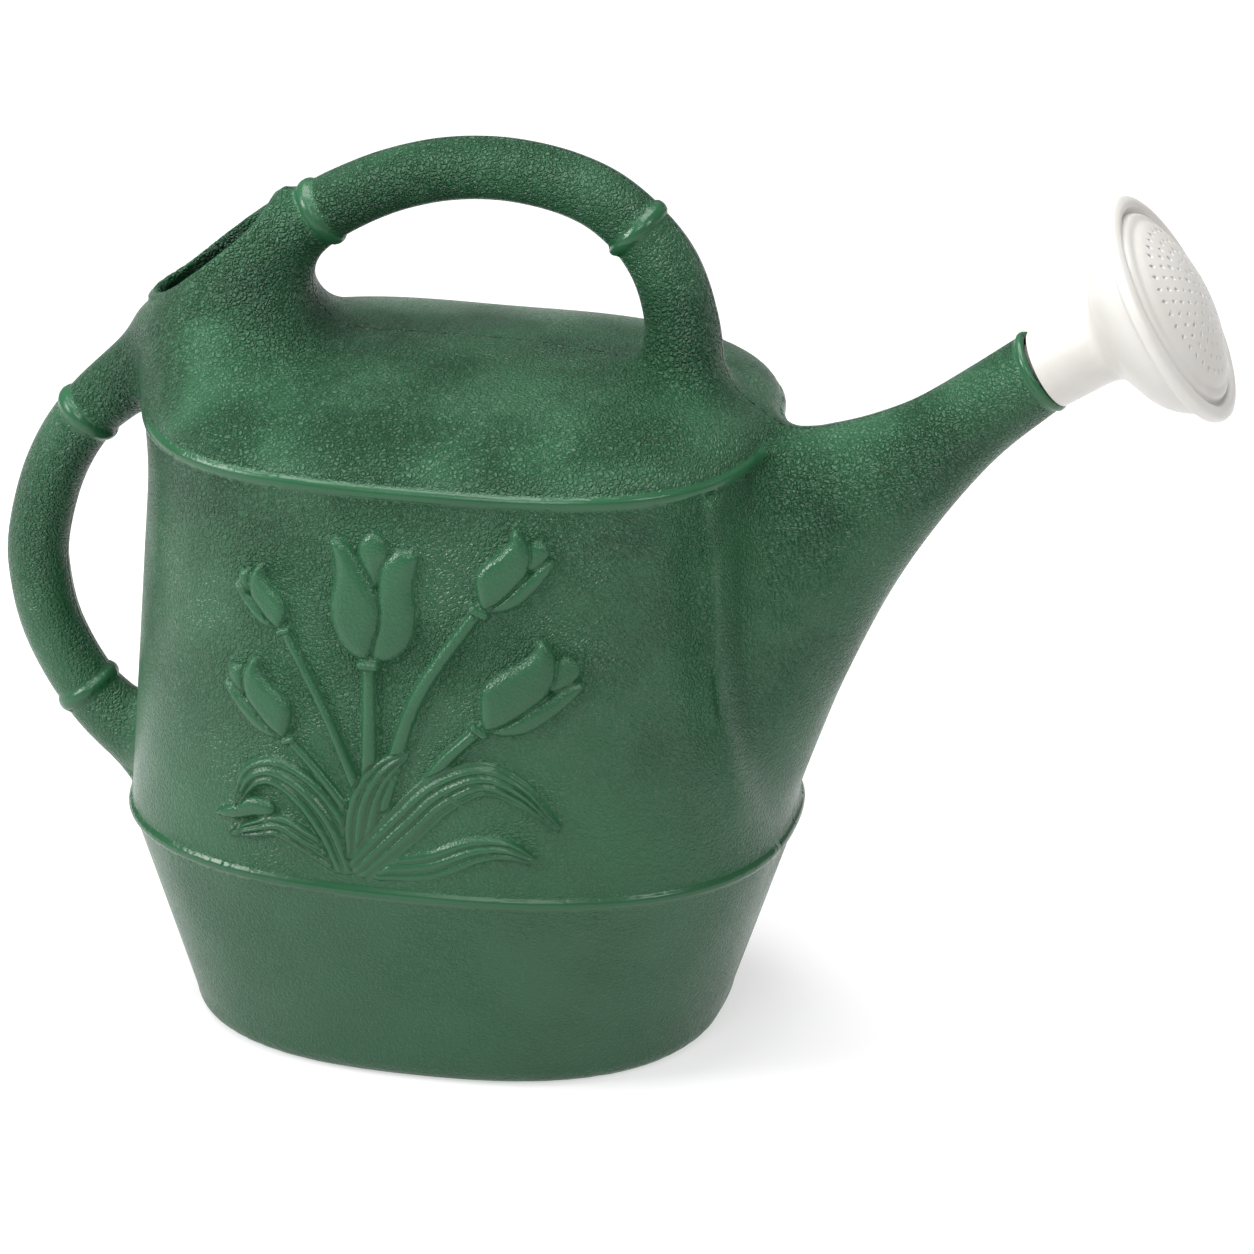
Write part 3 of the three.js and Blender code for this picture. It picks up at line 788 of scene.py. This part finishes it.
# From the dome's edge over the annulus and the groove to the rolled rim and its back.
FACE_EDGE = [(30.7, 54.7), (31.6, 54.3), (33.2, 53.9), (34.2, 53.3), (34.9, 52.1), (35.6, 51.2),
             (36.4, 51.9), (37.2, 53.1), (38.4, 53.5), (39.8, 53.2), (41.3, 52.2), (41.7, 50.7),
             (41.4, 49.2), (40.3, 48.2), (38.9, 47.9), (37.9, 48.5)]
FACE_BACK = [(36.9, 48.9), (35.4, 49.5), (33.9, 51.1), (31.2, 52.4)]
HOLE_RINGS = 7
HOLE_PITCH = 4.3
HOLE_RADIUS = 0.62
HOLE_SIDES = 10
DRILL_LENGTH = 4

# Points along the outlines: for each one given, and over the dome's front and back.
BELL_STEPS, EDGE_STEPS = 5, 4
DOME_STEPS, DOME_BACK_STEPS = 18, 12


def turned(name, outline):
    """A mesh from a closed outline turned about the rose's axis. Points at radius 0 become poles."""
    shape = bmesh.new()
    angles = np.linspace(0, 2 * math.pi, ROSE_SIDES, endpoint=False)
    rings = []
    for radius, height in outline:
        if radius == 0:
            rings.append([shape.verts.new((0, 0, height * MM))] * ROSE_SIDES)
            continue
        rings.append([shape.verts.new((radius * MM * math.cos(a), radius * MM * math.sin(a), height * MM))
                      for a in angles])
    pairs = list(zip(rings, rings[1:]))
    if outline[0][0] != 0:
        pairs.append((rings[-1], rings[0]))
    for low, high in pairs:
        for i in range(ROSE_SIDES):
            j = (i + 1) % ROSE_SIDES
            corners = list(dict.fromkeys([low[i], low[j], high[j], high[i]]))
            if len(corners) > 2:
                shape.faces.new(corners)
    bmesh.ops.recalc_face_normals(shape, faces=shape.faces)
    mesh = bpy.data.meshes.new(name)
    shape.to_mesh(mesh)
    shape.free()
    return mesh


def place_on_axis(mesh):
    """Turns a mesh made about +Z onto the rose's axis, with z = 0 at the spout's mouth."""
    turn = ROSE_AXIS.to_track_quat("Z", "Y").to_matrix().to_4x4()
    mesh.transform(Matrix.Translation(ROSE_ORIGIN) @ turn)
    mesh.shade_smooth()


def make_bell():
    outside = [tuple(p) for p in spline(BELL_OUTSIDE, BELL_STEPS * len(BELL_OUTSIDE))]
    inside = [(r - BELL_WALL, h + BELL_LIFT) for r, h in outside if h > NECK_TOP][::-1]
    inside[0] = (outside[-1][0] - BELL_WALL, outside[-1][1])
    bore = SPIGOT_RADIUS - BELL_WALL
    spigot = [(bore, BORE_TOP), (bore, SPIGOT_END), (SPIGOT_RADIUS - SPIGOT_CHAMFER, SPIGOT_END),
              (SPIGOT_RADIUS, SPIGOT_END + SPIGOT_CHAMFER_HEIGHT), (SPIGOT_RADIUS, BELL_OUTSIDE[0][1])]
    mesh = turned("rose_bell_skin", outside + inside + spigot)
    place_on_axis(mesh)
    return link_piece("rose_bell_skin", mesh)


def dome_height(radius):
    return DOME_TOP - DOME_DROP * (radius / DOME_RADIUS) ** DOME_POWER


def make_drills():
    """All the spray holes' drills in one mesh: one hole in the middle and rings of them round it."""
    shape = bmesh.new()
    for ring in range(HOLE_RINGS):
        count = max(1, 6 * ring)
        radius = ring * HOLE_PITCH
        height = dome_height(radius) - FACE_WALL / 2
        for number in range(count):
            angle = 2 * math.pi * (number + ring / 2) / count
            place = Vector((radius * math.cos(angle), radius * math.sin(angle), height)) * MM
            bmesh.ops.create_cone(shape, cap_ends=True, segments=HOLE_SIDES, radius1=HOLE_RADIUS * MM,
                                  radius2=HOLE_RADIUS * MM, depth=DRILL_LENGTH * MM,
                                  matrix=Matrix.Translation(place))
    mesh = bpy.data.meshes.new("drills")
    shape.to_mesh(mesh)
    shape.free()
    return link_piece("drills", mesh)


def cut_away(piece, cutter):
    """Cuts one piece out of another and removes it."""
    cut = piece.modifiers.new("holes", "BOOLEAN")
    cut.object = cutter
    cut.solver = "EXACT"
    graph = bpy.context.evaluated_depsgraph_get()
    graph.update()
    mesh = bpy.data.meshes.new_from_object(piece.evaluated_get(graph))
    piece.modifiers.clear()
    piece.data = mesh
    bpy.data.objects.remove(cutter)


def make_face():
    front = [(r, dome_height(r)) for r in np.linspace(0, DOME_RADIUS, DOME_STEPS)]
    edge = [tuple(p) for p in spline(FACE_EDGE, EDGE_STEPS * len(FACE_EDGE))]
    back = [(r, dome_height(r) - FACE_WALL) for r in np.linspace(DOME_BACK_RADIUS, 0, DOME_BACK_STEPS)]
    face = link_piece("rose_face_skin", turned("rose_face_skin", front + edge + FACE_BACK + back))
    cut_away(face, make_drills())
    place_on_axis(face.data)
    return face


bell = make_bell()
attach(bell, "rose")
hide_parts("rose_bell")
face = make_face()
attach(face, "rose_face")
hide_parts("rose_face")


# ---- Materials ---------------------------------------------------------------------------------

def add_node(tree, kind, inputs=None, **settings):
    """A shader node with its settings, and values or links for its inputs."""
    made = tree.nodes.new("ShaderNode" + kind)
    for key, value in settings.items():
        setattr(made, key, value)
    for key, value in (inputs or {}).items():
        if isinstance(value, bpy.types.NodeSocket):
            tree.links.new(value, made.inputs[key])
        else:
            made.inputs[key].default_value = value
    return made.outputs


def calculate(tree, operation, *values):
    return add_node(tree, "Math", dict(enumerate(values)), operation=operation)[0]


def product(tree, first, second):
    return calculate(tree, "MULTIPLY", first, second)


def mapped(tree, value, low, high, to_low, to_high):
    """A value's way from low to high, eased at both ends, as one from to_low to to_high."""
    return add_node(tree, "MapRange", {"Value": value, "From Min": low, "From Max": high, "To Min": to_low,
                                       "To Max": to_high}, interpolation_type="SMOOTHSTEP")[0]


def mixed(tree, share, first, second):
    return add_node(tree, "Mix", {0: share, 6: first, 7: second}, data_type="RGBA")[2]


def noise(tree, place, scale, detail, roughness=0.5, output="Fac"):
    inputs = {"Vector": place, "Scale": scale, "Detail": detail, "Roughness": roughness}
    return add_node(tree, "TexNoise", inputs)[output]


def bumped(tree, height, strength, depth, under=None):
    """A normal with a height added as bump, over another bump if one is given."""
    inputs = {"Strength": strength, "Distance": depth, "Height": height}
    if under is not None:
        inputs["Normal"] = under
    return add_node(tree, "Bump", inputs)["Normal"]


def new_material(name):
    material = bpy.data.materials.new(name)
    material.use_nodes = True
    return material, material.node_tree, material.node_tree.nodes["Principled BSDF"]


GREEN_DEEP = (0.010, 0.056, 0.023, 1)
GREEN_MIDDLE = (0.021, 0.094, 0.041, 1)
GREEN_PALE = (0.040, 0.120, 0.066, 1)
GREEN_IOR = 1.4

# Scales are per metre, and depths of bump in metres.
GRAIN_SCALE, GRAIN_DEPTH = 600, 0.0019
BEND_SCALE, BEND_SIZE = 330, 0.0032  # of the noise that bends the pebbles' outlines
FINE_SCALE = 1500
PEBBLE_SHARE, FINE_SHARE = 0.75, 0.35
PATCH_SCALE = 26
SEAM_HALF_WIDTH, SEAM_DEPTH, SEAM_PALENESS = 0.0008, 0.0014, 0.6
WAVE_SCALE, WAVE_DEPTH, WAVE_STRENGTH = 18, 0.0016, 0.25
DRIFT_SCALE = 11
SCUFF_SCALE = 210
SCUFF_ROUGHNESS = 0.25  # added where the surface is rubbed
SMOOTH_POLISH = 0.06  # taken off the roughness where it is plain


def pebble_edges(tree, place):
    """Distance from the edges of the grain's wrinkled pebbles."""
    bend = noise(tree, place, BEND_SCALE, 2, output="Color")
    bend = add_node(tree, "VectorMath", {0: bend, 1: (0.5, 0.5, 0.5)}, operation="SUBTRACT")[0]
    bend = add_node(tree, "VectorMath", {0: bend, "Scale": BEND_SIZE}, operation="SCALE")[0]
    bent = add_node(tree, "VectorMath", {0: place, 1: bend})[0]
    return add_node(tree, "TexVoronoi", {"Vector": bent, "Scale": GRAIN_SCALE},
                    feature="DISTANCE_TO_EDGE")["Distance"]


def grain_bump(tree, place, height, cells, patches, smooth):
    """Pebbles over a fine texture, coarser over the shoulder and handles than on the tub."""
    pebbles = product(tree, mapped(tree, cells, 0.0, 0.28, 0.0, 1.0), PEBBLE_SHARE)
    fine = product(tree, noise(tree, place, FINE_SCALE, 3), FINE_SHARE)
    amount = product(tree, mapped(tree, height, 0.07, 0.24, 0.4, 1.0),
                     mapped(tree, patches, 0.3, 0.7, 0.55, 1.1))
    amount = product(tree, amount, mapped(tree, smooth, 0.0, 1.0, 1.0, 0.06))
    return bumped(tree, calculate(tree, "ADD", pebbles, fine), amount, GRAIN_DEPTH)


def green_colour(tree, place, height, cells, smooth):
    """Slow drifts, with painted shade that deepens the colour towards the bottom, over the tub, and painted
    shade in the grain's grooves.
    """
    drift = mapped(tree, noise(tree, place, DRIFT_SCALE, 5, 0.6), 0.25, 0.7, 0.3, 1.0)
    # Painted shade: below about 0.12 m, over the tub, the colour is drawn towards GREEN_DEEP.
    drift = product(tree, drift, mapped(tree, height, 0.05, 0.12, 0.45, 1.0))
    colour = mixed(tree, drift, GREEN_DEEP, GREEN_MIDDLE)
    # Painted shade in the grain's grooves: the colour is drawn towards GREEN_DEEP along the pebbles' edges,
    # less where the plastic is plain.
    groove = product(tree, mapped(tree, cells, 0.0, 0.12, 0.35, 0.0),
                     mapped(tree, smooth, 0.0, 1.0, 1.0, 0.0))
    return mixed(tree, groove, colour, GREEN_DEEP)


def green_plastic():
    material, tree, shader = new_material("green_grained_plastic")
    place = add_node(tree, "TexCoord")["Object"]
    smooth = add_node(tree, "Attribute", attribute_name="smooth")["Fac"]
    parts = add_node(tree, "SeparateXYZ", {0: place})
    height = parts["Z"]
    cells = pebble_edges(tree, place)
    patches = noise(tree, place, PATCH_SCALE, 3)
    # The line where the two halves of the mould meet.
    seam = mapped(tree, calculate(tree, "ABSOLUTE", parts["Y"]), 0.0, SEAM_HALF_WIDTH, 1.0, 0.0)
    bump = grain_bump(tree, place, height, cells, patches, smooth)
    bump = bumped(tree, seam, 1.0, SEAM_DEPTH, bump)
    # Slow waves in the wall, as a blown moulding cools unevenly.
    bump = bumped(tree, noise(tree, place, WAVE_SCALE, 1), WAVE_STRENGTH, WAVE_DEPTH, bump)
    # Paler where edges have rubbed, and along the seam.
    scuffs = mapped(tree, noise(tree, place, SCUFF_SCALE, 6, 0.75), 0.52, 0.72, 0.0, 0.8)
    rubbed = product(tree, scuffs, mapped(tree, height, 0.0, 0.012, 1.0, 0.12))
    colour = mixed(tree, rubbed, green_colour(tree, place, height, cells, smooth), GREEN_PALE)
    colour = mixed(tree, product(tree, seam, SEAM_PALENESS), colour, GREEN_PALE)
    rough = calculate(tree, "ADD", mapped(tree, patches, 0.3, 0.7, 0.27, 0.36),
                      product(tree, rubbed, SCUFF_ROUGHNESS))
    rough = calculate(tree, "SUBTRACT", rough, product(tree, smooth, SMOOTH_POLISH))
    tree.links.new(colour, shader.inputs["Base Color"])
    tree.links.new(rough, shader.inputs["Roughness"])
    tree.links.new(bump, shader.inputs["Normal"])
    shader.inputs["IOR"].default_value = GREEN_IOR
    return material


WHITE_PLAIN = (0.585, 0.57, 0.545, 1)
WHITE_WARM = (0.55, 0.53, 0.50, 1)
WHITE_DUSTY = (0.62, 0.58, 0.52, 1)
WHITE_IOR = 1.49
WHITE_DRIFT_SCALE = 34
FLECK_SCALE, FLECK_DEPTH, FLECK_STRENGTH = 900, 0.0001, 0.12
RIPPLE_SCALE, RIPPLE_DEPTH, RIPPLE_STRENGTH = 75, 0.001, 0.15
SUBSURFACE, SUBSURFACE_RADIUS = 0.12, (0.006, 0.005, 0.004)


def white_plastic():
    material, tree, shader = new_material("white_satin_plastic")
    place = add_node(tree, "TexCoord")["Object"]
    drift = noise(tree, place, WHITE_DRIFT_SCALE, 4)
    flecks = noise(tree, place, FLECK_SCALE, 3, 0.7)
    colour = mixed(tree, mapped(tree, drift, 0.35, 0.7, 0.0, 1.0), WHITE_PLAIN, WHITE_WARM)
    colour = mixed(tree, mapped(tree, flecks, 0.62, 0.8, 0.0, 0.4), colour, WHITE_DUSTY)
    bump = bumped(tree, noise(tree, place, RIPPLE_SCALE, 2), RIPPLE_STRENGTH, RIPPLE_DEPTH)
    bump = bumped(tree, flecks, FLECK_STRENGTH, FLECK_DEPTH, bump)
    tree.links.new(colour, shader.inputs["Base Color"])
    tree.links.new(mapped(tree, drift, 0.3, 0.7, 0.28, 0.42), shader.inputs["Roughness"])
    tree.links.new(bump, shader.inputs["Normal"])
    shader.inputs["Subsurface Weight"].default_value = SUBSURFACE
    shader.inputs["Subsurface Radius"].default_value = SUBSURFACE_RADIUS
    shader.inputs["IOR"].default_value = WHITE_IOR
    return material


FLOOR_GREY, FLOOR_PALE = (0.44, 0.44, 0.44, 1), (0.46, 0.46, 0.46, 1)
FLOOR_DRIFT_SCALE = 3
FLOOR_ROUGHNESS = 0.7
FLOOR_GLOW = 0.56


def floor_paint():
    material, tree, shader = new_material("floor_paint")
    place = add_node(tree, "TexCoord")["Object"]
    drift = noise(tree, place, FLOOR_DRIFT_SCALE, 2)
    tree.links.new(mixed(tree, drift, FLOOR_GREY, FLOOR_PALE), shader.inputs["Base Color"])
    shader.inputs["Roughness"].default_value = FLOOR_ROUGHNESS
    shader.inputs["Emission Color"].default_value = (1, 1, 1, 1)
    shader.inputs["Emission Strength"].default_value = FLOOR_GLOW
    return material


def put_material(piece, material):
    piece.data.materials.clear()
    piece.data.materials.append(material)


put_material(can, green_plastic())
white = white_plastic()
put_material(bell, white)
put_material(face, white)

# ---- Stage, light and camera -------------------------------------------------------------------

FLOOR_HALF = 3.0
WORLD_STRENGTH = 0.27
CAN_MIDDLE = Vector((0, 0, 0.15))

floor_mesh = bpy.data.meshes.new("floor")
floor_corners = [(FLOOR_HALF * x, FLOOR_HALF * y, 0) for x, y in ((-1, -1), (1, -1), (1, 1), (-1, 1))]
floor_mesh.from_pydata(floor_corners, [], [(0, 1, 2, 3)])
floor = link_piece("floor", floor_mesh)
put_material(floor, floor_paint())

bpy.context.scene.view_settings.view_transform = "Standard"
world = bpy.data.worlds.new("studio")
world.use_nodes = True
background = world.node_tree.nodes["Background"]
background.inputs["Color"].default_value = (1, 1, 1, 1)
background.inputs["Strength"].default_value = WORLD_STRENGTH
bpy.context.scene.world = world

AZIMUTH, ELEVATION, ROLL = math.radians(12.25), math.radians(22.0), math.radians(-0.59)
AIM = Vector((57.1, 0, 143.8)) * MM
DISTANCE = 2.561
SENSOR_WIDTH, FOCAL_LENGTH = 36, 210.7
CLIP_END = 20

back = Vector((math.sin(AZIMUTH) * math.cos(ELEVATION), -math.cos(AZIMUTH) * math.cos(ELEVATION),
               math.sin(ELEVATION)))
lens = bpy.data.cameras.new("camera")
lens.sensor_width = SENSOR_WIDTH
lens.lens = FOCAL_LENGTH
lens.clip_end = CLIP_END
camera = bpy.data.objects.new("camera", lens)
camera.location = AIM + back * DISTANCE
facing = back.to_track_quat("Z", "Y").to_matrix()
camera.rotation_euler = (facing @ Matrix.Rotation(-ROLL, 3, "Z")).to_euler()
bpy.context.scene.collection.objects.link(camera)
bpy.context.scene.camera = camera


def soft_box(name, place, size, watts):
    """A square area light aimed at the middle of the can."""
    light = bpy.data.lights.new(name, "AREA")
    light.energy = watts
    light.size = size
    lamp = bpy.data.objects.new(name, light)
    lamp.location = place
    lamp.rotation_euler = (CAN_MIDDLE - Vector(place)).to_track_quat("-Z", "Y").to_euler()
    bpy.context.scene.collection.objects.link(lamp)


soft_box("overhead", (-0.25, 0.1, 1.7), 1.4, 40)
soft_box("key", (-1.4, -0.7, 1.0), 0.7, 26)
soft_box("front", (0.1, -1.7, 1.6), 0.9, 16)
soft_box("side", (1.4, -0.9, 1.2), 0.5, 8)
